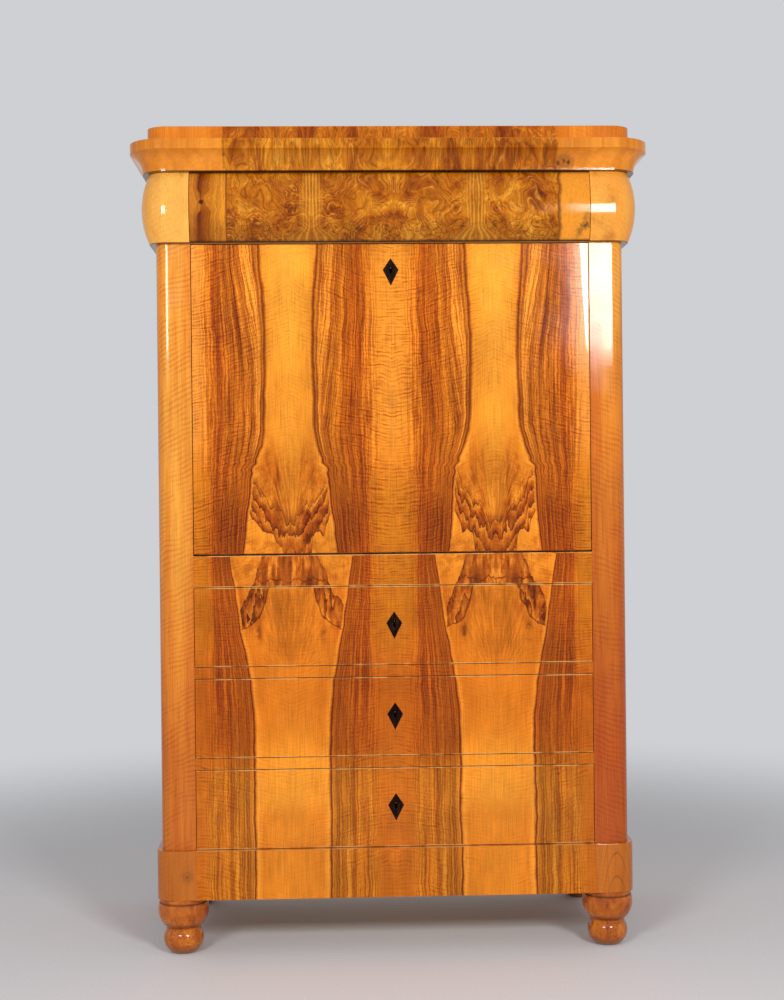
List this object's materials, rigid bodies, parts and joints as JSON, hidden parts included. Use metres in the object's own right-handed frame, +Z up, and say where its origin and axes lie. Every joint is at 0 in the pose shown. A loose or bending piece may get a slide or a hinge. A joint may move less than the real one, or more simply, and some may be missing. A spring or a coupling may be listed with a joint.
{
  "type": "drop-front secretary",
  "caption": "Tall veneered writing cabinet with a hinged fall front on quadrant stays, long drawers below, a bulged frieze drawer under the cornice and a fitted writing compartment.",
  "frame": {"origin": "centre of the footprint at floor level, under the middle of the whole box", "axes": "+Z up, the front faces -Y, +X to the viewer's right"},
  "size_m": [0.996, 0.498, 1.583],
  "materials": {
    "veneer": "plain honey-coloured walnut veneer, glossy French polish",
    "figured_veneer": "book-matched streaked walnut veneer, glossy French polish",
    "burl_veneer": "burl walnut veneer, glossy French polish",
    "carcass_wood": "bare aged softwood",
    "interior_wood": "pale maple, satin",
    "brass": "aged brass",
    "iron": "dark iron",
    "ebonised_wood": "black polished wood",
    "leather": "dark green writing leather"
  },
  "bodies": {
    "carcass": {"top_slab": "veneer", "cornice_front": "burl_veneer", "cornice_returns": "veneer", "carcass_top": "carcass_wood", "frieze_end_left": "veneer", "frieze_end_right": "veneer", "corner_post_left": "veneer", "corner_post_right": "veneer", "side_panel_left": "veneer", "side_panel_right": "veneer", "back_boards": "carcass_wood", "ceiling_board": "interior_wood", "desk_board": "interior_wood", "fall_rail": "figured_veneer", "drawer_rails": "figured_veneer", "drawer_runners": "carcass_wood", "base_board": "carcass_wood", "plinth_front": "figured_veneer", "plinth_sides": "veneer", "foot_blocks": "carcass_wood", "front_feet": "veneer", "rear_feet": "veneer", "compartment_sides": "interior_wood", "stay_pins": "iron", "post_hinge_plates": "brass", "gallery_uprights": "interior_wood", "gallery_shelves": "interior_wood"},
    "fall": {"fall_panel": "figured_veneer", "fall_hinge_leaves": "brass", "stay_quadrants": "brass", "writing_leather": "leather", "fall_lock": "brass", "fall_escutcheon": "ebonised_wood"},
    "fall_bolt": {"fall_bolt": "iron"},
    "frieze_drawer": {"frieze_drawer_front": "burl_veneer", "frieze_drawer_box": "carcass_wood"},
    "drawer_1": {"drawer_front_1": "figured_veneer", "drawer_box_1": "carcass_wood", "drawer_lock_1": "brass", "drawer_escutcheon_1": "ebonised_wood"},
    "drawer_bolt_1": {"drawer_bolt_1": "iron"},
    "drawer_2": {"drawer_front_2": "figured_veneer", "drawer_box_2": "carcass_wood", "drawer_lock_2": "brass", "drawer_escutcheon_2": "ebonised_wood"},
    "drawer_bolt_2": {"drawer_bolt_2": "iron"},
    "drawer_3": {"drawer_front_3": "figured_veneer", "drawer_box_3": "carcass_wood", "drawer_lock_3": "brass", "drawer_escutcheon_3": "ebonised_wood"},
    "drawer_bolt_3": {"drawer_bolt_3": "iron"},
    "small_drawer_1": {"small_drawer_1": "interior_wood", "small_knob_1": "ebonised_wood"},
    "small_drawer_2": {"small_drawer_2": "interior_wood", "small_knob_2": "ebonised_wood"},
    "small_drawer_3": {"small_drawer_3": "interior_wood", "small_knob_3": "ebonised_wood"},
    "small_drawer_4": {"small_drawer_4": "interior_wood", "small_knob_4": "ebonised_wood"}
  },
  "joints": [
    {"name": "fall_hinge", "type": "hinge", "parent": "carcass", "child": "fall", "pos_m": [0, -0.193, 0.7842], "axis": [1, 0, 0], "range_deg": [0, 90]},
    {"name": "fall_bolt_slide", "type": "slide", "parent": "fall", "child": "fall_bolt", "axis": [0, 0, 1], "range_m": [0, 0.01]},
    {"name": "frieze_drawer_slide", "type": "slide", "parent": "carcass", "child": "frieze_drawer", "axis": [0, -1, 0], "range_m": [0, 0.28]},
    {"name": "drawer_1_slide", "type": "slide", "parent": "carcass", "child": "drawer_1", "axis": [0, -1, 0], "range_m": [0, 0.3]},
    {"name": "drawer_bolt_1_slide", "type": "slide", "parent": "drawer_1", "child": "drawer_bolt_1", "axis": [0, 0, 1], "range_m": [0, 0.01]},
    {"name": "drawer_2_slide", "type": "slide", "parent": "carcass", "child": "drawer_2", "axis": [0, -1, 0], "range_m": [0, 0.3]},
    {"name": "drawer_bolt_2_slide", "type": "slide", "parent": "drawer_2", "child": "drawer_bolt_2", "axis": [0, 0, 1], "range_m": [0, 0.01]},
    {"name": "drawer_3_slide", "type": "slide", "parent": "carcass", "child": "drawer_3", "axis": [0, -1, 0], "range_m": [0, 0.3]},
    {"name": "drawer_bolt_3_slide", "type": "slide", "parent": "drawer_3", "child": "drawer_bolt_3", "axis": [0, 0, 1], "range_m": [0, 0.01]},
    {"name": "small_drawer_1_slide", "type": "slide", "parent": "carcass", "child": "small_drawer_1", "axis": [0, -1, 0], "range_m": [0, 0.12]},
    {"name": "small_drawer_2_slide", "type": "slide", "parent": "carcass", "child": "small_drawer_2", "axis": [0, -1, 0], "range_m": [0, 0.12]},
    {"name": "small_drawer_3_slide", "type": "slide", "parent": "carcass", "child": "small_drawer_3", "axis": [0, -1, 0], "range_m": [0, 0.12]},
    {"name": "small_drawer_4_slide", "type": "slide", "parent": "carcass", "child": "small_drawer_4", "axis": [0, -1, 0], "range_m": [0, 0.12]}
  ]
}
